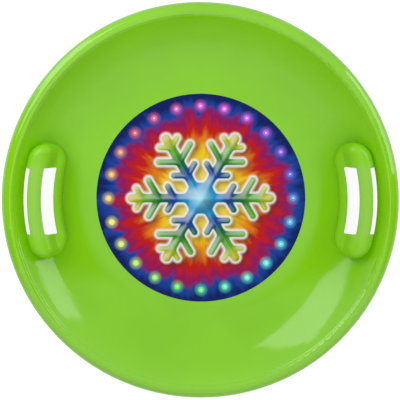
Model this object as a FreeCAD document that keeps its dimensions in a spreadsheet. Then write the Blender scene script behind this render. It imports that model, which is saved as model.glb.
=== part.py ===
"""Saucer sled: a moulded bowl with a rolled rim, two hollow handles with finger gaps, and a film label.

Lengths are millimetres, angles degrees. +Z is up, the handles lie on the X axis, and the origin is
the middle of the flat underside that the sled stands and slides on.
"""
import FreeCAD, Part
import math
import os

import Sketcher

# Driving dimensions, each written once and kept in the sheet under the same name
SIZES = {
    # bowl and rim
    "outer_radius": 300.0,
    "rim_height": 66.0,
    "wall": 2.5,
    "side_width": 119.0,
    "rim_corner_radius": 6.0,
    "rim_roll_radius": 12.5,
    "rim_crown_width": 1.5,
    "rim_lip_drop": 4.0,
    # printed film label, flush with the floor
    "label_margin": 7.0,
    "label_thickness": 0.3,
    "label_clearance": 0.2,
    # handle from the rim inwards: its distance from the edge, a gap, the grip bar, a gap and a strip
    "handle_inset": 32.2,
    "narrow_gap": 6.6,
    "bar_width": 20.4,
    "wide_gap": 17.5,
    "strip_width": 12.3,
    # grip bar and the ends of the gaps
    "bar_below_rim": 3.0,
    "bar_depth": 13.0,
    "bar_reach": 8.0,
    "gap_half_length": 50.5,
    "gap_corner_radius": 2.0,
    "gap_edge_radius": 1.0,
    # handle pod: from above an arc with round ends, in section a high shelf, a saddle and a low strip
    "pod_end_length": 37.0,
    "pod_edge_radius": 13.0,
    "strip_drop": 24.0,
    "shelf_width": 4.0,
    "saddle_angle": 60.0,
    "saddle_crest_radius": 20.0,
    "saddle_valley_radius": 10.0,
    # how far a cut runs past the face that it opens
    "overrun": 4.0,
}

# Sizes that follow from them; the bowl's side is the arc that leaves the floor level and meets the
# rim's inner corner smoothly
FOLLOWING = {
    "rim_corner_place": "outer_radius - rim_roll_radius - rim_crown_width",
    "floor_radius": "rim_corner_place - side_width",
    "bowl_rise": "rim_height - rim_corner_radius - wall",
    "bowl_radius": "( side_width ^ 2 + bowl_rise ^ 2 - rim_corner_radius ^ 2 ) "
                   "/ ( 2 * ( bowl_rise + rim_corner_radius ) )",
    "label_radius": "floor_radius - label_margin",
    "pod_outer_radius": "outer_radius - handle_inset",
    "bar_outer_radius": "pod_outer_radius - narrow_gap",
    "bar_inner_radius": "bar_outer_radius - bar_width",
    "gap_inner_radius": "bar_inner_radius - wide_gap",
    "pod_inner_radius": "gap_inner_radius - strip_width",
    "pod_half_length": "gap_half_length + pod_end_length",
    "bar_height": "rim_height - bar_below_rim",
    "strip_height": "bar_height - strip_drop",
    "saddle_radius": "pod_outer_radius - pod_edge_radius - shelf_width",
}

START, END, CENTRE = range(1, 4)
ORIGIN_POINT = (-1, 1)
X_AXIS = -1
UP = FreeCAD.Vector(0, 0, 1)

# Turn in degrees of the rings that a handle is cut from, wide enough for the whole handle
HANDLE_SECTOR = 120

# How much of a direction's length points up: below the first it is level, above the second it rises
LEVEL_SHARE = 0.05
RISING_SHARE = 0.5

document = FreeCAD.newDocument("saucer_sled")
sheet = document.addObject("Spreadsheet::Sheet", "sizes")
formulas = {size_name: f"={text}" for size_name, text in FOLLOWING.items()}
for row, (size_name, content) in enumerate({**SIZES, **formulas}.items(), start=1):
    sheet.set(f"A{row}", size_name)
    sheet.set(f"B{row}", str(content))
    sheet.setAlias(f"B{row}", size_name)
document.recompute()


def bound(text):
    """An expression on the sheet, from a text in which spaces part the names from the signs."""
    return " ".join(f"sizes.{word}" if word in SIZES or word in FOLLOWING else word for word in text.split())


def amount(text):
    """The present value of such a text."""
    return float(sheet.evalExpression(bound(text)))


def point(across, up):
    return FreeCAD.Vector(across, up, 0)


AXIS = point(0, 0)


def polar(centre, radius, degrees):
    angle = math.radians(degrees)
    return centre + point(radius * math.cos(angle), radius * math.sin(angle))


def line(start, end):
    return {"curve": Part.LineSegment(start, end), "first": START, "last": END}


def arc(centre, radius, from_degrees, to_degrees):
    """An arc drawn from one angle to the other, either way round."""
    low, high = sorted((math.radians(from_degrees), math.radians(to_degrees)))
    first, last = (START, END) if from_degrees < to_degrees else (END, START)
    return {"curve": Part.ArcOfCircle(Part.Circle(centre, UP, radius), low, high), "first": first, "last": last}


def new_body(name):
    body = document.addObject("PartDesign::Body", name)
    body.Label = name
    return body


def origin_plane(body, role):
    return next(plane for plane in body.Origin.OriginFeatures if plane.Role == role)


def new_sketch(body, name, role):
    sketch = body.newObject("Sketcher::SketchObject", name)
    sketch.AttachmentSupport = [(origin_plane(body, role), "")]
    sketch.MapMode = "FlatFace"
    return sketch


def draw_outline(sketch, steps, smooth=()):
    """Draw lines and arcs as one closed outline; the joints after the steps in smooth are tangent."""
    numbers = [sketch.addGeometry(step["curve"], False) for step in steps]
    for place, step in enumerate(steps):
        follower = (place + 1) % len(steps)
        kind = "Tangent" if place in smooth else "Coincident"
        ends = (numbers[place], step["last"], numbers[follower], steps[follower]["first"])
        sketch.addConstraint(Sketcher.Constraint(kind, *ends))
    return numbers


def draw_circle(sketch, radius_text):
    """A circle about the sled's axis."""
    number = sketch.addGeometry(Part.Circle(AXIS, UP, amount(radius_text)), False)
    centred(sketch, number)
    dimension(sketch, "Radius", radius_text, number)


def level(sketch, *lines):
    for number in lines:
        sketch.addConstraint(Sketcher.Constraint("Horizontal", number))


def upright(sketch, *lines):
    for number in lines:
        sketch.addConstraint(Sketcher.Constraint("Vertical", number))


def centred(sketch, *arcs):
    for number in arcs:
        sketch.addConstraint(Sketcher.Constraint("Coincident", number, CENTRE, *ORIGIN_POINT))


def dimension(sketch, kind, text, *references):
    """Add one dimension and bind it to an expression on the sheet."""
    start_value = math.radians(amount(text)) if kind == "Angle" else amount(text)
    number = sketch.addConstraint(Sketcher.Constraint(kind, *references, start_value))
    sketch.setExpression(f"Constraints[{number}]", bound(text))


def across(sketch, text, number, end):
    """Distance of a point to the right of the sketch's origin."""
    dimension(sketch, "DistanceX", text, *ORIGIN_POINT, number, end)


def height(sketch, text, number, end):
    """Distance of a point above the sketch's origin."""
    dimension(sketch, "DistanceY", text, *ORIGIN_POINT, number, end)


def depth(sketch, text, number, end):
    """Distance of a point below the sketch's origin."""
    dimension(sketch, "DistanceY", text, number, end, *ORIGIN_POINT)


def revolve(body, name, sketch, turn=360):
    """Turn a sketch about the sled's axis, by a whole turn or by as much on both sides of the sketch."""
    document.recompute()
    feature = body.newObject("PartDesign::Revolution", name)
    feature.Profile = sketch
    feature.ReferenceAxis = (sketch, ["V_Axis"])
    feature.Midplane = turn < 360
    feature.Angle = turn
    return feature


def pad(body, name, sketch, length_text):
    document.recompute()
    feature = body.newObject("PartDesign::Pad", name)
    feature.Profile = sketch
    feature.setExpression("Length", bound(length_text))
    return feature


def pocket_through(body, name, sketch):
    """Cut a sketch through the whole body, above and below its plane."""
    document.recompute()
    feature = body.newObject("PartDesign::Pocket", name)
    feature.Profile = sketch
    feature.Type = "ThroughAll"
    feature.SideType = "Symmetric"
    return feature


def round_edges(body, name, base, chosen, radius_text):
    """Round the edges of a feature that the test chooses."""
    document.recompute()
    edges = [f"Edge{number}" for number, edge in enumerate(base.Shape.Edges, start=1) if chosen(base.Shape, edge)]
    feature = body.newObject("PartDesign::Fillet", name)
    feature.Base = (base, edges)
    feature.setExpression("Radius", bound(radius_text))
    return feature


def draw_shell_profile(body):
    """Half section of the bowl: flat floor, one wide arc, a rounded inner corner and a rolled outer rim."""
    wall = amount("wall")
    outer = amount("outer_radius")
    top = amount("rim_height")
    floor = amount("floor_radius")
    corner = amount("rim_corner_radius")
    roll = amount("rim_roll_radius")
    lip_end = top - roll - amount("rim_lip_drop")
    bowl = amount("bowl_radius")
    slope = math.degrees(math.asin(amount("side_width") / (bowl + corner)))
    bowl_centre = point(floor, wall + bowl)
    corner_centre = point(amount("rim_corner_place"), top - corner)
    roll_centre = point(outer - roll, top - roll)
    sketch = new_sketch(body, "shell_profile", "XZ_Plane")
    steps = [
        line(point(0, 0), point(floor, 0)),
        arc(bowl_centre, bowl + wall, -90, slope - 90),
        arc(corner_centre, corner - wall, slope + 90, 90),
        line(polar(corner_centre, corner - wall, 90), polar(roll_centre, roll - wall, 90)),
        arc(roll_centre, roll - wall, 90, 0),
        line(point(outer - wall, top - roll), point(outer - wall, lip_end)),
        arc(point(outer - wall / 2, lip_end), wall / 2, 180, 360),
        line(point(outer, lip_end), point(outer, top - roll)),
        arc(roll_centre, roll, 0, 90),
        line(polar(roll_centre, roll, 90), polar(corner_centre, corner, 90)),
        arc(corner_centre, corner, 90, slope + 90),
        arc(bowl_centre, bowl, slope - 90, -90),
        line(point(floor, wall), point(0, wall)),
        line(point(0, wall), point(0, 0)),
    ]
    numbers = draw_outline(sketch, steps, smooth=range(len(steps) - 2))
    (under_floor, under_bowl, under_corner, under_crown, under_roll, lip_inside, lip_foot, lip_outside,
     rim_roll, crown, rim_corner, bowl_side, floor_top, axis_line) = numbers
    level(sketch, under_floor, under_crown, crown, floor_top)
    upright(sketch, lip_inside, lip_outside, axis_line)
    sketch.addConstraint(Sketcher.Constraint("Coincident", under_floor, START, *ORIGIN_POINT))
    sketch.addConstraint(Sketcher.Constraint("Coincident", under_bowl, CENTRE, bowl_side, CENTRE))
    across(sketch, "floor_radius", under_floor, END)
    across(sketch, "outer_radius", lip_outside, END)
    height(sketch, "wall", axis_line, START)
    height(sketch, "rim_height", crown, START)
    height(sketch, "rim_height - wall", under_crown, END)
    height(sketch, "rim_height - rim_roll_radius - rim_lip_drop", lip_outside, START)
    dimension(sketch, "Radius", "wall / 2", lip_foot)
    dimension(sketch, "DistanceX", "rim_crown_width", crown, END, crown, START)
    dimension(sketch, "Radius", "rim_corner_radius", rim_corner)
    dimension(sketch, "Radius", "rim_corner_radius - wall", under_corner)
    dimension(sketch, "Radius", "rim_roll_radius", rim_roll)
    dimension(sketch, "Radius", "rim_roll_radius - wall", under_roll)
    return sketch


def draw_pod_outline(sketch, shrink="", grow=""):
    """Outline of a handle pod from above: two arcs about the sled's axis and two round ends."""
    outer = amount("pod_outer_radius" + shrink)
    inner = amount("pod_inner_radius" + grow)
    end_radius = (outer - inner) / 2
    middle = (outer + inner) / 2
    end_text = "pod_half_length - ( pod_outer_radius - pod_inner_radius ) / 2"
    half_turn = math.degrees(math.asin(amount(end_text) / middle))
    steps = [
        arc(AXIS, outer, -half_turn, half_turn),
        arc(polar(AXIS, middle, half_turn), end_radius, half_turn, half_turn + 180),
        arc(AXIS, inner, half_turn, -half_turn),
        arc(polar(AXIS, middle, -half_turn), end_radius, 180 - half_turn, 360 - half_turn),
    ]
    outer_arc, far_end, inner_arc, near_end = draw_outline(sketch, steps, smooth=range(len(steps)))
    centred(sketch, outer_arc, inner_arc)
    dimension(sketch, "Radius", "pod_outer_radius" + shrink, outer_arc)
    dimension(sketch, "Radius", "pod_inner_radius" + grow, inner_arc)
    height(sketch, end_text, far_end, CENTRE)
    depth(sketch, end_text, near_end, CENTRE)


def make_shell():
    """The bowl with its rim, the label's recess and an opening for each handle."""
    body = new_body("saucer_shell")
    revolve(body, "bowl", draw_shell_profile(body))
    recess_sketch = new_sketch(body, "recess_outline", "XY_Plane")
    draw_circle(recess_sketch, "label_radius + label_clearance")
    recess_sketch.setExpression("AttachmentOffset.Base.z", bound("wall - label_thickness"))
    document.recompute()
    recess = body.newObject("PartDesign::Pocket", "label_recess")
    recess.Profile = recess_sketch
    recess.Reversed = True
    recess.setExpression("Length", bound("label_thickness + overrun"))
    opening_sketch = new_sketch(body, "handle_opening_outline", "XY_Plane")
    draw_pod_outline(opening_sketch)
    opening = pocket_through(body, "handle_opening", opening_sketch)
    document.recompute()
    both = body.newObject("PartDesign::Mirrored", "handle_openings")
    both.Originals = [opening]
    both.MirrorPlane = (origin_plane(body, "YZ_Plane"), [""])
    body.Tip = both
    return body


def draw_pod_section(body, shrink="", grow=""):
    """Section of a pod through the sled's axis: a high shelf for the bar, a saddle and a low inner strip."""
    shelf = amount("bar_height" + shrink)
    strip = amount("strip_height" + shrink)
    crest = amount("saddle_crest_radius" + shrink)
    valley = amount("saddle_valley_radius" + grow)
    near = amount("floor_radius")
    far = amount("outer_radius")
    slope = amount("saddle_angle")
    crest_centre = point(amount("saddle_radius"), shelf - crest)
    crest_end = polar(crest_centre, crest, 90 + slope)
    fall = crest_end.y - strip - valley * (1 - math.cos(math.radians(slope)))
    valley_start = crest_end - point(fall / math.tan(math.radians(slope)), fall)
    valley_centre = polar(valley_start, valley, 90 + slope)
    sketch = new_sketch(body, "pod_section", "XZ_Plane")
    steps = [
        line(point(near, 0), point(far, 0)),
        line(point(far, 0), point(far, shelf)),
        line(point(far, shelf), polar(crest_centre, crest, 90)),
        arc(crest_centre, crest, 90, 90 + slope),
        line(crest_end, valley_start),
        arc(valley_centre, valley, slope - 90, -90),
        line(polar(valley_centre, valley, -90), point(near, strip)),
        line(point(near, strip), point(near, 0)),
    ]
    numbers = draw_outline(sketch, steps, smooth=(2, 3, 4, 5))
    foot, far_side, shelf_top, crest_arc, saddle, valley_arc, strip_top, near_side = numbers
    level(sketch, foot, shelf_top, strip_top)
    upright(sketch, far_side, near_side)
    sketch.addConstraint(Sketcher.Constraint("PointOnObject", foot, START, X_AXIS))
    across(sketch, "floor_radius", foot, START)
    across(sketch, "outer_radius", foot, END)
    height(sketch, "bar_height" + shrink, shelf_top, START)
    height(sketch, "strip_height" + shrink, strip_top, END)
    across(sketch, "saddle_radius", shelf_top, END)
    dimension(sketch, "Radius", "saddle_crest_radius" + shrink, crest_arc)
    dimension(sketch, "Radius", "saddle_valley_radius" + grow, valley_arc)
    dimension(sketch, "Angle", "saddle_angle", X_AXIS, START, saddle, END)
    return sketch


def is_pod_top_edge(shape, edge):
    """Whether an edge is where the upright side of a pod meets its top."""
    faces = shape.ancestorsOfType(edge, Part.Face)
    sides = [face for face in faces if isinstance(face.Surface, Part.Cylinder)]
    return len(sides) == 1 and edge.BoundBox.ZMin > amount("wall")


def make_pod(name, shrink="", grow=""):
    """A solid pod with rounded top edges; shrink and grow draw it in by the wall for the hollow inside."""
    body = new_body(name)
    revolve(body, "pod_ring", draw_pod_section(body, shrink, grow), turn=HANDLE_SECTOR)
    outline = new_sketch(body, "pod_outline", "XY_Plane")
    draw_pod_outline(outline, shrink, grow)
    draw_circle(outline, "outer_radius + overrun")
    sides = pocket_through(body, "pod_sides", outline)
    body.Tip = round_edges(body, "pod_rounding", sides, is_pod_top_edge, "pod_edge_radius" + shrink)
    return body


def make_bowl_limit():
    """Everything above the underside of the bowl's side, which the handles stand on."""
    near = amount("floor_radius")
    far = amount("rim_corner_place - rim_corner_radius")
    top = amount("rim_height + overrun")
    radius = amount("bowl_radius + wall")
    turn = math.degrees(math.asin((far - near) / radius))
    centre = point(near, radius)
    body = new_body("bowl_limit")
    sketch = new_sketch(body, "limit_section", "XZ_Plane")
    steps = [
        arc(centre, radius, -90, turn - 90),
        line(polar(centre, radius, turn - 90), point(far, top)),
        line(point(far, top), point(near, top)),
        line(point(near, top), point(near, 0)),
    ]
    underside, far_side, top_line, near_side = draw_outline(sketch, steps)
    level(sketch, top_line)
    upright(sketch, far_side, near_side)
    sketch.addConstraint(Sketcher.Constraint("PointOnObject", underside, CENTRE, near_side))
    sketch.addConstraint(Sketcher.Constraint("PointOnObject", near_side, END, X_AXIS))
    across(sketch, "floor_radius", near_side, END)
    across(sketch, "rim_corner_place - rim_corner_radius", far_side, END)
    height(sketch, "rim_height + overrun", top_line, END)
    dimension(sketch, "Radius", "bowl_radius + wall", underside)
    revolve(body, "limit_ring", sketch, turn=HANDLE_SECTOR)
    return body


def is_upright_edge(shape, edge):
    return isinstance(edge.Curve, Part.Line) and abs(edge.tangentAt(edge.FirstParameter).z) > RISING_SHARE


def make_finger_gap(name, inner_text, outer_text):
    """A curved space with straight ends, as deep as the whole handle."""
    inner = amount(inner_text)
    outer = amount(outer_text)
    inner_turn = math.degrees(math.asin(amount("gap_half_length") / inner))
    outer_turn = math.degrees(math.asin(amount("gap_half_length") / outer))
    body = new_body(name)
    sketch = new_sketch(body, "gap_outline", "XY_Plane")
    steps = [
        arc(AXIS, outer, -outer_turn, outer_turn),
        line(polar(AXIS, outer, outer_turn), polar(AXIS, inner, inner_turn)),
        arc(AXIS, inner, inner_turn, -inner_turn),
        line(polar(AXIS, inner, -inner_turn), polar(AXIS, outer, -outer_turn)),
    ]
    outer_arc, far_end, inner_arc, near_end = draw_outline(sketch, steps)
    centred(sketch, outer_arc, inner_arc)
    level(sketch, far_end, near_end)
    dimension(sketch, "Radius", outer_text, outer_arc)
    dimension(sketch, "Radius", inner_text, inner_arc)
    height(sketch, "gap_half_length", far_end, START)
    depth(sketch, "gap_half_length", near_end, START)
    space = pad(body, "gap_space", sketch, "bar_height + overrun")
    body.Tip = round_edges(body, "gap_corners", space, is_upright_edge, "gap_corner_radius")
    return body


def make_bar_cheek(name, inner_text, outer_text):
    """A ring that keeps the hollow out of one side of the grip bar, which makes the bar an upturned channel."""
    inner = amount(inner_text)
    outer = amount(outer_text)
    top = amount("bar_height + overrun")
    foot = amount("bar_height - bar_depth")
    body = new_body(name)
    sketch = new_sketch(body, "cheek_section", "XZ_Plane")
    steps = [
        line(point(inner, foot), point(outer, foot)),
        line(point(outer, foot), point(outer, top)),
        line(point(outer, top), point(inner, top)),
        line(point(inner, top), point(inner, foot)),
    ]
    foot_line, outer_side, top_line, inner_side = draw_outline(sketch, steps)
    level(sketch, foot_line, top_line)
    upright(sketch, outer_side, inner_side)
    across(sketch, inner_text, foot_line, START)
    across(sketch, outer_text, foot_line, END)
    height(sketch, "bar_height - bar_depth", foot_line, START)
    height(sketch, "bar_height + overrun", top_line, START)
    sweep = revolve(body, "cheek", sketch, turn=HANDLE_SECTOR)
    sweep.setExpression("Angle", bound("2 * asin( ( gap_half_length + bar_reach ) / bar_inner_radius )"))
    return body


def combine(kind, name, base, tool):
    result = document.addObject(f"Part::{kind}", name)
    result.Label = name
    result.Base = base
    result.Tool = tool
    return result


def is_gap_top_edge(shape, edge):
    """Whether an edge is where the side of a finger gap meets the top of its handle."""
    middle = edge.valueAt((edge.FirstParameter + edge.LastParameter) / 2)
    rises = []
    for face in shape.ancestorsOfType(edge, Part.Face):
        rises.append(face.normalAt(*face.Surface.parameter(middle)).z)
    from_axis = math.hypot(middle.x, middle.y)
    slack = amount("gap_edge_radius")
    in_gap = amount("gap_inner_radius") - slack < from_axis < amount("bar_outer_radius + gap_corner_radius") + slack
    in_gap = in_gap and abs(middle.y) < amount("gap_half_length") + slack
    return in_gap and abs(min(rises, key=abs)) < LEVEL_SHARE and max(rises) > RISING_SHARE


def make_handles():
    """One hollow pod, open below, with a grip bar between two gaps, and the same again on the other side."""
    inner_cheek = make_bar_cheek("inner_cheek", "bar_inner_radius - overrun", "bar_inner_radius + wall")
    outer_cheek = make_bar_cheek("outer_cheek", "bar_outer_radius - wall", "bar_outer_radius + overrun")
    space = make_pod("pod_space", " - wall", " + wall")
    space = combine("Cut", "half_ribbed_space", space, inner_cheek)
    space = combine("Cut", "ribbed_space", space, outer_cheek)
    pod = combine("Cut", "hollow_pod", make_pod("pod"), space)
    pod = combine("Common", "seated_pod", pod, make_bowl_limit())
    wide_gap = make_finger_gap("wide_finger_gap", "gap_inner_radius", "bar_inner_radius")
    narrow_gap = make_finger_gap("narrow_finger_gap", "bar_outer_radius", "pod_outer_radius + overrun")
    pod = combine("Cut", "half_opened_pod", pod, wide_gap)
    pod = combine("Cut", "opened_pod", pod, narrow_gap)
    document.recompute()
    right = document.addObject("Part::Fillet", "right_handle")
    right.Label = "right_handle"
    right.Base = pod
    softened = amount("gap_edge_radius")
    right.Edges = [(number, softened, softened) for number, edge in enumerate(pod.Shape.Edges, start=1)
                   if is_gap_top_edge(pod.Shape, edge)]
    left = document.addObject("Part::Mirroring", "left_handle")
    left.Label = "left_handle"
    left.Source = right
    left.Normal = FreeCAD.Vector(1, 0, 0)
    return right, left


def make_label():
    """The printed film, a thin disc that lies in the floor's recess."""
    body = new_body("picture_label")
    sketch = new_sketch(body, "label_outline", "XY_Plane")
    draw_circle(sketch, "label_radius")
    sketch.setExpression("AttachmentOffset.Base.z", bound("wall - label_thickness"))
    pad(body, "film", sketch, "label_thickness")
    return body


def check_document(nodes):
    """Stop if anything failed to build, or if a node isn't one valid solid."""
    for item in document.Objects:
        if "Invalid" in item.State or "Error" in item.State:
            raise RuntimeError(f"{item.Name} failed to build: {item.State}")
    for node in nodes:
        shape = node.Shape
        if shape.isNull() or not shape.isValid() or len(shape.Solids) != 1:
            raise RuntimeError(f"{node.Label} isn't one valid solid")


nodes = [make_shell(), *make_handles(), make_label()]
document.recompute()
check_document(nodes)
os.makedirs("parts", exist_ok=True)
for node in nodes:
    node.Shape.exportStep(f"parts/{node.Label}.step")
    print(node.Label, "volume", round(node.Shape.Volume), "faces", len(node.Shape.Faces))
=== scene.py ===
"""Saucer sled seen from above: finishes, label print, studio light and camera. Lengths are metres."""
import math

import bpy
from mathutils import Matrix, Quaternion, Vector


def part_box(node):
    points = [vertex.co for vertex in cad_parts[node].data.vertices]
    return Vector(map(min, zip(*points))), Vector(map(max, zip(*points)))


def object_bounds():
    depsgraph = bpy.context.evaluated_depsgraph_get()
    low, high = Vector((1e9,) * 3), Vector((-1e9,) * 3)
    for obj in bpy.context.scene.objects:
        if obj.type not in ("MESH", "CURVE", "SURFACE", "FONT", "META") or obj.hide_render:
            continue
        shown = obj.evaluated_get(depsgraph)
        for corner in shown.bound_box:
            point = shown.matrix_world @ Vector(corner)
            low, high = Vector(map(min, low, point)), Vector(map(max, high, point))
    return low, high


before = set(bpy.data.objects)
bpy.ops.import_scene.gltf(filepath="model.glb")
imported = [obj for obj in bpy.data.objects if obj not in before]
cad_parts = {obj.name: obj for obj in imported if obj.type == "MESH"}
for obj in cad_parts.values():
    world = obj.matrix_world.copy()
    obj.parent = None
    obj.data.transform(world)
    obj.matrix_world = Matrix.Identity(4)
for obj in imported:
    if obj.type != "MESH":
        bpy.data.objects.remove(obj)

CAD_BOX = [list(corner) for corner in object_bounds()]

# Sizes that come from the frame
LOW, HIGH = (Vector(corner) for corner in CAD_BOX)
OUTER_RADIUS = (HIGH.x - LOW.x) / 2
LABEL_LOW, LABEL_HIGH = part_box("picture_label")
LABEL_RADIUS = (LABEL_HIGH.x - LABEL_LOW.x) / 2

# Camera: the rim's edge spans this many pixels on each side of its middle, in a square frame
IMAGE_PIXELS = 400
RIM_PIXELS = 198.7
RIM_ROLL_RADIUS = 0.0125
CAMERA_DISTANCE = 3.4
TILT_NORTH = math.radians(5.58)
TILT_EAST = math.radians(1.42)
ROLL = math.radians(0.2)
AIM_EAST = 0.0013
AIM_NORTH = 0.0018
SENSOR_WIDTH = 36.0

# Floor: half its width, how far it lies below the sled, its colour and its own glow
FLOOR_REACH = 6.0
FLOOR_DROP = 0.0002
FLOOR_GREY = (0.2, 0.2, 0.2)
FLOOR_GLOW = 0.90

# Plastic: its roughness runs from smooth to scuffed places
PLASTIC_GREEN = (0.245, 0.650, 0.003)
PLASTIC_IOR = 1.49
PLASTIC_SPECULAR = 0.5
RIM_SPECULAR = 0.7
RIM_ROUGHNESS_SHARE = 0.5
GLOSSY_ROUGHNESS = (0.08, 0.12)
SATIN_ROUGHNESS = (0.28, 0.36)

# Noises, each with its size, detail and roughness, and what becomes of them
CLOUDS = (0.11, 3.0, 0.5)
SCUFFS = (0.017, 4.0, 0.6)
GRAIN = (0.0011, 2.0, 0.6)
CLOUD_SHARES = (0.35, 0.65)
CLOUD_GREEN_SHARES = (0.96, 1.03)
SCUFF_SHARES = (0.3, 0.7)

# Bumps: strength and depth
CLOUD_BUMP = (0.06, 0.002)
GRAIN_BUMP = (0.03, 0.0002)
FILM_BUMP = (0.03, 0.002)

# Shading of the shell, by the distance in from the rim's edge: where the wall meets the rim's inner corner,
# between which insets the top of the wall, that corner and the rim's shoulder bend away from their solids,
# how strongly they do, and where the glossier finish of the rim sets in
WALL_END_INSET = 0.01898
WALL_INSETS = (0.055, WALL_END_INSET)
WALL_BEND = -4.0
CORNER_INSETS = (0.021, WALL_END_INSET)
CORNER_BEND = -161.0
SHOULDER_INSETS = (0.0068, 0.0040)
SHOULDER_BEND = 70.0
GLOSS_INSETS = (0.023, 0.020)

# Painted sheen on the grip bars, a paler green standing in for their highlight: between which drops below
# the rim's top it sets in, and between which distances from their middle it ends
SHEEN_DROPS = (0.016, 0.006)
SHEEN_LENGTHS = (0.046, 0.066)
PAINTED_SHEEN_GREEN = (0.285, 0.65, 0.05)

# Softboxes: azimuth from +X towards +Y, elevation, roll, distance, width, height and radiance
SOFTBOXES = {
    "softbox_left": (142.5, 40, 28, 0.97, 0.57, 0.47, 2.7),
    "softbox_right": (21.5, 31, -8, 0.94, 0.5, 0.24, 2.9),
}

# World: radiance high up and low down, each in the south and in the north, and the sines of the directions
# between which one turns into the other
HIGH_RADIANCE = (1.15, 0.87)
LOW_RADIANCE = (0.3, 1.2)
NORTH_SINES = (-0.5, 0.5)
HEIGHT_SINES = (0.1, 0.6)

# Dark wedges in the east and west: radiance, the slant of their middle and how far off it they fade, as
# north over the way aside, the sines of the directions between which they set in, and the least way aside
# that is divided by
WEDGE_RADIANCE = 0.1
WEDGE_SLANT = -0.05
WEDGE_FADE_SLANTS = (0.75, 0.35)
WEDGE_ASIDE_SINES = (0.03, 0.25)
WEDGE_HEIGHT_SINES = (0.05, 0.40)
LEAST_ASIDE_SINE = 0.01

# Label film
FILM_ROUGHNESS = 0.15
FILM_SPECULAR = 0.12
FILM_WAVES = (0.11, 2.0, 0.5)
EDGE_SOFTNESS_SHARE = 0.006

# Colour burst of the print, in shares of the label's radius; its rays are a noise that is stretched outwards
RAYS = (0.13, 3.0, 0.55)
RAY_STRETCH_SHARE = 0.35
RAY_NOISE_SHARES = (0.2, 0.8)
RAY_REACH_SHARE = 0.13

# Ring of dots in the print: the angle of the first hue as a share of a turn, and each dot's glow and core
DOT_COUNT = 24
DOT_RING_SHARE = 0.885
DOT_SHARE = 0.026
FIRST_HUE_SHARE = 0.62
DOT_SATURATION = 0.85
DOT_BRIGHTNESS = 0.95
DOT_GLOW_SHARE = 0.05
DOT_GLOW_STRENGTH = 0.45
DOT_CORE_SHARES = (-0.022, -0.012)
DOT_CORE_STRENGTH = 0.8

# Snow crystal in the print: its arms, and for each twig its start, length and half width
ARM_COUNT = 6
ARM_LENGTH_SHARE = 0.66
ARM_WIDTH_SHARE = 0.042
TWIG_SHARES = ((0.25, 0.13, 0.030), (0.40, 0.20, 0.030), (0.56, 0.11, 0.026))
TWIG_ANGLE = math.radians(60)
PLATE_SHARE = 0.15
JOIN_SHARE = 0.03

# Light and shade on the crystal: the shift towards the light, and the reach and strength of each effect
LIGHT_SHIFT_SHARES = (-0.028, 0.030)
SHADOW_SHARES = (-0.02, 0.07)
SHADOW_STRENGTH = 0.6
HALO_SHARE = 0.035
HALO_STRENGTH = 0.9
GLINT_STRENGTH = 0.35
DARK_SIDE_STRENGTH = 0.55

# Colours, and those of the print from the label's middle outwards, each at a share of its radius
WHITE = (1.0, 1.0, 1.0)
NEAR_BLACK = (0.02, 0.02, 0.02)
BURST_STOPS = ((0.0, (1.0, 0.85, 0.25)), (0.36, (0.90, 0.62, 0.01)), (0.52, (0.80, 0.22, 0.002)),
               (0.67, (0.55, 0.006, 0.004)), (0.79, (0.30, 0.004, 0.10)), (0.88, (0.004, 0.05, 0.34)),
               (1.0, (0.0, 0.010, 0.12)))
CRYSTAL_STOPS = ((0.0, (0.30, 0.75, 0.95)), (0.14, (0.01, 0.32, 0.65)), (0.26, (0.0, 0.06, 0.35)),
                 (0.38, (0.0, 0.16, 0.03)), (0.52, (0.10, 0.42, 0.01)), (0.64, (0.55, 0.55, 0.01)),
                 (0.76, (0.70, 0.20, 0.01)))


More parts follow.
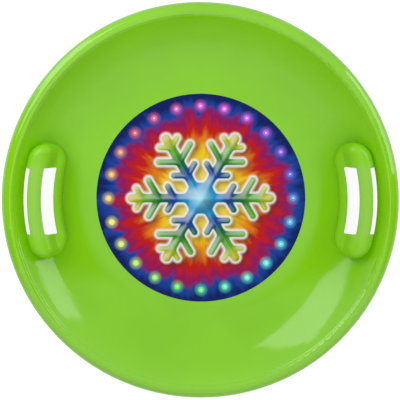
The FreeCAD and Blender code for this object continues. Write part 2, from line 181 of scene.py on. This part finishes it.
class Shader:
    """Nodes of a material or of the world, added one by one and joined by their sockets."""

    def __init__(self, owner, output_kind="ShaderNodeOutputMaterial"):
        self.owner = owner
        self.owner.use_nodes = True
        self.tree = owner.node_tree
        self.tree.nodes.clear()
        self.output = self.tree.nodes.new(output_kind)

    def feed(self, socket, value):
        """Join a socket to another one, or set it to a number, a colour or a vector."""
        if isinstance(value, bpy.types.NodeSocket):
            self.tree.links.new(value, socket)
        else:
            socket.default_value = value

    def node(self, kind, inputs=(), **settings):
        """Add a node, set its properties, and feed its inputs by name or number."""
        made = self.tree.nodes.new(kind)
        for key, value in settings.items():
            setattr(made, key, value)
        for key, value in dict(inputs).items():
            self.feed(made.inputs[key], value)
        return made

    def math(self, operation, first, second=0.0, third=0.0):
        made = self.node("ShaderNodeMath", {0: first, 1: second, 2: third}, operation=operation)
        return made.outputs[0]

    def add(self, first, second):
        return self.math("ADD", first, second)

    def subtract(self, first, second):
        return self.math("SUBTRACT", first, second)

    def times(self, first, second):
        return self.math("MULTIPLY", first, second)

    def length(self, across, up):
        """Length of a flat vector."""
        return self.math("SQRT", self.add(self.times(across, across), self.times(up, up)))

    def place(self, coordinates="Object"):
        return self.node("ShaderNodeTexCoord").outputs[coordinates]

    def axes(self, vector):
        """The three parts of a vector."""
        return self.node("ShaderNodeSeparateXYZ", {0: vector}).outputs[:]

    def noise(self, vector, size, detail, roughness):
        inputs = {"Vector": vector, "Scale": 1 / size, "Detail": detail, "Roughness": roughness}
        return self.node("ShaderNodeTexNoise", inputs).outputs[0]

    def remap(self, value, low, high, to_low=0.0, to_high=1.0, kind="LINEAR"):
        inputs = {0: value, 1: low, 2: high, 3: to_low, 4: to_high}
        return self.node("ShaderNodeMapRange", inputs, interpolation_type=kind).outputs[0]

    def mix(self, share, first, second):
        """Mix two colours."""
        made = self.node("ShaderNodeMix", data_type="RGBA")
        for number, value in ((0, share), (6, first), (7, second)):
            self.feed(made.inputs[number], value)
        return made.outputs[2]

    def ramp(self, value, stops):
        """A colour that runs smoothly through the stops, each a place and a colour."""
        made = self.node("ShaderNodeValToRGB", {0: value})
        elements = made.color_ramp.elements
        made.color_ramp.interpolation = "EASE"
        for element, (place, colour) in zip((elements[0], elements[1]), (stops[0], stops[-1])):
            element.position = place
            element.color = rgba(colour)
        for place, colour in stops[1:-1]:
            elements.new(place).color = rgba(colour)
        return made.outputs[0]

    def bump(self, height, strength=1.0, depth=1.0, normal=None):
        """A normal that shows a height; with the strength and depth left out, the height is in metres."""
        made = self.node("ShaderNodeBump", {"Height": height, "Strength": strength, "Distance": depth})
        if normal is not None:
            self.feed(made.inputs["Normal"], normal)
        return made.outputs[0]

    def finish(self, made):
        """Join the last node to the output."""
        self.tree.links.new(made.outputs[0], self.output.inputs[0])
        return self.owner

    def surface(self, colour, roughness, normal, specular):
        """Finish with a principled surface."""
        inputs = {"Base Color": colour, "Roughness": roughness, "Normal": normal, "IOR": PLASTIC_IOR,
                  "Specular IOR Level": specular}
        return self.finish(self.node("ShaderNodeBsdfPrincipled", inputs))


def rgba(colour):
    return (*colour, 1.0)


def new_shader(name):
    return Shader(bpy.data.materials.new(name))


def green_plastic(name, roughness_range):
    """Moulded plastic, coloured through, with faint flow marks and a fine mould grain."""
    shader = new_shader(name)
    place = shader.place()
    clouds = shader.noise(place, *CLOUDS)
    darker, lighter = (rgba([part * share for part in PLASTIC_GREEN]) for share in CLOUD_GREEN_SHARES)
    colour = shader.mix(shader.remap(clouds, *CLOUD_SHARES), darker, lighter)
    roughness = shader.remap(shader.noise(place, *SCUFFS), *SCUFF_SHARES, *roughness_range)
    waves = shader.bump(clouds, *CLOUD_BUMP)
    normal = shader.bump(shader.noise(place, *GRAIN), *GRAIN_BUMP, waves)
    return shader, place, colour, roughness, normal


def bend(shader, inset, insets, amount):
    """Height that grows with the square of the way outwards from the first inset, up to the second."""
    start, end = insets
    beyond = shader.remap(inset, start, end, 0.0, start - end)
    return shader.times(shader.times(beyond, beyond), amount)


def shell_plastic():
    """Glossy plastic, glossiest on the rim; its shading flattens the wall's top and the rim's shoulder."""
    shader, place, colour, roughness, normal = green_plastic("glossy_green_plastic", GLOSSY_ROUGHNESS)
    across, up, _ = shader.axes(place)
    inset = shader.subtract(OUTER_RADIUS, shader.length(across, up))
    wall = bend(shader, inset, WALL_INSETS, WALL_BEND)
    corner = bend(shader, inset, CORNER_INSETS, CORNER_BEND)
    shoulder = bend(shader, inset, SHOULDER_INSETS, SHOULDER_BEND)
    flatter = shader.bump(shader.add(shader.add(wall, corner), shoulder), normal=normal)
    specular = shader.remap(inset, *GLOSS_INSETS, PLASTIC_SPECULAR, RIM_SPECULAR)
    roughness = shader.times(roughness, shader.remap(inset, *GLOSS_INSETS, 1.0, RIM_ROUGHNESS_SHARE))
    return shader.surface(colour, roughness, flatter, specular)


def grip_plastic():
    """Satin plastic, with a painted sheen of paler green on the tops of the grip bars."""
    shader, place, colour, roughness, normal = green_plastic("satin_green_plastic", SATIN_ROUGHNESS)
    _, along, height = shader.axes(place)
    on_bar = shader.remap(shader.math("ABSOLUTE", along), *SHEEN_LENGTHS, 1.0, 0.0, "SMOOTHSTEP")
    near_top = shader.remap(shader.subtract(HIGH.z, height), *SHEEN_DROPS, kind="SMOOTHSTEP")
    # painted sheen: the bars' tops are mixed towards a paler green, as a painted highlight
    colour = shader.mix(shader.times(on_bar, near_top), colour, rgba(PAINTED_SHEEN_GREEN))
    return shader.surface(colour, roughness, normal, PLASTIC_SPECULAR)


def stroke(shader, along, side, start, length, tilt, half_width):
    """Distance from a round-ended stroke that leaves the arm's line at start."""
    rise, run = math.sin(tilt), math.cos(tilt)
    from_start = shader.subtract(along, start)
    reach = shader.add(shader.times(from_start, run), shader.times(side, rise))
    reach = shader.math("MINIMUM", shader.math("MAXIMUM", reach, 0.0), length)
    off_along = shader.subtract(from_start, shader.times(reach, run))
    off_side = shader.subtract(side, shader.times(reach, rise))
    return shader.subtract(shader.length(off_along, off_side), half_width)


def crystal_distance(shader, across, up):
    """Distance from the outline of a six-armed snow crystal, below zero inside it."""
    half_sector = math.pi / ARM_COUNT
    radius = shader.length(across, up)
    fold = shader.math("PINGPONG", shader.math("ARCTAN2", up, across), half_sector)
    along = shader.times(radius, shader.math("COSINE", fold))
    side = shader.times(radius, shader.math("SINE", fold))
    plate = shader.add(shader.times(along, math.cos(half_sector)), shader.times(side, math.sin(half_sector)))
    distance = shader.subtract(plate, PLATE_SHARE)
    strokes = [(0.0, ARM_LENGTH_SHARE, 0.0, ARM_WIDTH_SHARE)]
    strokes += [(start, length, TWIG_ANGLE, half_width) for start, length, half_width in TWIG_SHARES]
    for start, length, tilt, half_width in strokes:
        next_distance = stroke(shader, along, side, start, length, tilt, half_width)
        distance = shader.math("SMOOTH_MIN", distance, next_distance, JOIN_SHARE)
    return distance


def dot_distance(shader, radius, angle):
    """Distance from a ring of round dots."""
    fold = shader.math("PINGPONG", angle, math.pi / DOT_COUNT)
    along = shader.subtract(shader.times(radius, shader.math("COSINE", fold)), DOT_RING_SHARE)
    side = shader.times(radius, shader.math("SINE", fold))
    return shader.subtract(shader.length(along, side), DOT_SHARE)


def burst(shader, radius, angle):
    """Burst of colour, whose edges are drawn out into soft rays."""
    parts = {0: shader.math("COSINE", angle), 1: shader.math("SINE", angle),
             2: shader.times(radius, RAY_STRETCH_SHARE)}
    rays = shader.noise(shader.node("ShaderNodeCombineXYZ", parts).outputs[0], *RAYS)
    reach = shader.remap(rays, *RAY_NOISE_SHARES, -RAY_REACH_SHARE, RAY_REACH_SHARE)
    return shader.ramp(shader.add(radius, reach), BURST_STOPS)


def with_dots(shader, colour, radius, angle):
    """A ring of dots over a colour, each in the hue of its direction, with a glow and a white core."""
    hue = shader.math("FRACT", shader.add(shader.math("DIVIDE", angle, math.tau), FIRST_HUE_SHARE))
    parts = {0: hue, 1: DOT_SATURATION, 2: DOT_BRIGHTNESS}
    dot_colour = shader.node("ShaderNodeCombineColor", parts, mode="HSV").outputs[0]
    distance = dot_distance(shader, radius, angle)
    glow = shader.remap(distance, 0.0, DOT_GLOW_SHARE, DOT_GLOW_STRENGTH, 0.0, "SMOOTHSTEP")
    inside = shader.remap(distance, 0.0, EDGE_SOFTNESS_SHARE, 1.0, 0.0)
    core = shader.remap(distance, *DOT_CORE_SHARES, DOT_CORE_STRENGTH, 0.0)
    colour = shader.mix(glow, colour, dot_colour)
    colour = shader.mix(inside, colour, dot_colour)
    return shader.mix(core, colour, rgba(WHITE))


def with_crystal(shader, colour, across, up, radius):
    """A crystal over a colour, with a soft shadow below it, a white halo round it and lit edges."""
    distance = crystal_distance(shader, across, up)
    shift_across, shift_up = LIGHT_SHIFT_SHARES
    towards_light = crystal_distance(shader, shader.add(across, shift_across), shader.add(up, shift_up))
    shadow = shader.remap(towards_light, *SHADOW_SHARES, SHADOW_STRENGTH, 0.0, "SMOOTHSTEP")
    halo = shader.remap(distance, 0.0, HALO_SHARE, HALO_STRENGTH, 0.0, "SMOOTHSTEP")
    colour = shader.mix(shadow, colour, rgba(NEAR_BLACK))
    colour = shader.mix(halo, colour, rgba(WHITE))
    facing = shader.subtract(towards_light, distance)
    most = math.hypot(*LIGHT_SHIFT_SHARES)
    paint = shader.ramp(radius, CRYSTAL_STOPS)
    paint = shader.mix(shader.remap(facing, 0.0, most, 0.0, GLINT_STRENGTH), paint, rgba(WHITE))
    paint = shader.mix(shader.remap(facing, -most, 0.0, DARK_SIDE_STRENGTH, 0.0), paint, rgba(NEAR_BLACK))
    inside = shader.remap(distance, -EDGE_SOFTNESS_SHARE, EDGE_SOFTNESS_SHARE, 1.0, 0.0)
    return shader.mix(inside, colour, paint)


def printed_film():
    """Glossy film printed with a colour burst, a ring of coloured dots and a snow crystal over it."""
    shader = new_shader("printed_film")
    place = shader.place()
    to_shares = {0: place, "Scale": 1 / LABEL_RADIUS}
    across, up, _ = shader.axes(shader.node("ShaderNodeVectorMath", to_shares, operation="SCALE").outputs[0])
    radius = shader.length(across, up)
    angle = shader.math("ARCTAN2", up, across)
    colour = burst(shader, radius, angle)
    colour = with_dots(shader, colour, radius, angle)
    colour = with_crystal(shader, colour, across, up, radius)
    waves = shader.bump(shader.noise(place, *FILM_WAVES), *FILM_BUMP)
    return shader.surface(colour, FILM_ROUGHNESS, waves, FILM_SPECULAR)


def pale_floor():
    """Floor that gives little light back; seen by eye or in a reflection it is nearly white by itself."""
    shader = new_shader("pale_floor")
    rays = shader.node("ShaderNodeLightPath").outputs
    seen = shader.math("MAXIMUM", rays["Is Camera Ray"], rays["Is Glossy Ray"])
    seen = shader.math("MAXIMUM", seen, rays["Is Transmission Ray"])
    matt = shader.node("ShaderNodeBsdfDiffuse", {"Color": rgba(FLOOR_GREY)}).outputs[0]
    strength = shader.times(seen, FLOOR_GLOW)
    glow = shader.node("ShaderNodeEmission", {"Color": rgba(WHITE), "Strength": strength}).outputs[0]
    return shader.finish(shader.node("ShaderNodeAddShader", {0: matt, 1: glow}))


def dress(node_name, material):
    """Give a CAD node its finish."""
    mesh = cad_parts[node_name].data
    mesh.materials.clear()
    mesh.materials.append(material)


def add_floor():
    level = LOW.z - FLOOR_DROP
    sides = ((-1, -1), (1, -1), (1, 1), (-1, 1))
    mesh = bpy.data.meshes.new("floor")
    mesh.from_pydata([(x * FLOOR_REACH, y * FLOOR_REACH, level) for x, y in sides], [], [(0, 1, 2, 3)])
    mesh.materials.append(pale_floor())
    floor = bpy.data.objects.new("floor", mesh)
    bpy.context.scene.collection.objects.link(floor)


def add_softbox(name, azimuth, elevation, roll, distance, width, height, radiance):
    """A softbox aimed at the sled; its angles are in degrees."""
    turn, rise = math.radians(azimuth), math.radians(elevation)
    way = Vector((math.cos(turn) * math.cos(rise), math.sin(turn) * math.cos(rise), math.sin(rise)))
    lamp = bpy.data.lights.new(name, "AREA")
    lamp.shape = "RECTANGLE"
    lamp.size = width
    lamp.size_y = height
    lamp.energy = radiance * math.pi * width * height
    holder = bpy.data.objects.new(name, lamp)
    holder.location = way * distance
    facing = way.to_track_quat("Z", "Y") @ Quaternion((0, 0, 1), math.radians(roll))
    holder.rotation_euler = facing.to_euler()
    bpy.context.scene.collection.objects.link(holder)


def light_world():
    """Soft light all round, darkest low in the south, with a dark wedge in the east and in the west."""
    world = bpy.data.worlds.new("studio")
    bpy.context.scene.world = world
    shader = Shader(world, "ShaderNodeOutputWorld")
    east, north, up = shader.axes(shader.place("Generated"))
    low = shader.remap(north, *NORTH_SINES, *LOW_RADIANCE, "SMOOTHSTEP")
    high = shader.remap(north, *NORTH_SINES, *HIGH_RADIANCE, "SMOOTHSTEP")
    height = shader.remap(up, *HEIGHT_SINES, kind="SMOOTHSTEP")
    radiance = shader.add(low, shader.times(height, shader.subtract(high, low)))
    aside = shader.math("MAXIMUM", shader.math("ABSOLUTE", east), LEAST_ASIDE_SINE)
    slant = shader.subtract(shader.math("DIVIDE", north, aside), WEDGE_SLANT)
    in_wedge = shader.remap(shader.math("ABSOLUTE", slant), *WEDGE_FADE_SLANTS, kind="SMOOTHSTEP")
    in_wedge = shader.times(in_wedge, shader.remap(aside, *WEDGE_ASIDE_SINES))
    in_wedge = shader.times(in_wedge, shader.remap(up, *WEDGE_HEIGHT_SINES))
    outside = shader.times(shader.subtract(1.0, in_wedge), radiance)
    radiance = shader.add(outside, shader.times(in_wedge, WEDGE_RADIANCE))
    shader.finish(shader.node("ShaderNodeBackground", {"Color": rgba(WHITE), "Strength": radiance}))


def add_camera():
    """Looks down on the sled, tipped a little towards +Y and +X, with the rim filling the frame."""
    data = bpy.data.cameras.new("camera")
    data.sensor_width = SENSOR_WIDTH
    data.lens = SENSOR_WIDTH * RIM_PIXELS / IMAGE_PIXELS * CAMERA_DISTANCE / OUTER_RADIUS
    camera = bpy.data.objects.new("camera", data)
    aim = Vector((AIM_EAST, AIM_NORTH, HIGH.z - RIM_ROLL_RADIUS))
    way = Vector((math.sin(TILT_EAST) * math.cos(TILT_NORTH), math.sin(TILT_NORTH),
                  math.cos(TILT_EAST) * math.cos(TILT_NORTH)))
    camera.location = aim + way * CAMERA_DISTANCE
    camera.rotation_euler = (-TILT_NORTH, TILT_EAST, -ROLL)
    bpy.context.scene.collection.objects.link(camera)
    bpy.context.scene.camera = camera


dress("saucer_shell", shell_plastic())
grip = grip_plastic()
for name in ("left_handle", "right_handle"):
    dress(name, grip)
dress("picture_label", printed_film())
add_floor()
for name, settings in SOFTBOXES.items():
    add_softbox(name, *settings)
light_world()
add_camera()
bpy.context.scene.view_settings.view_transform = "Standard"
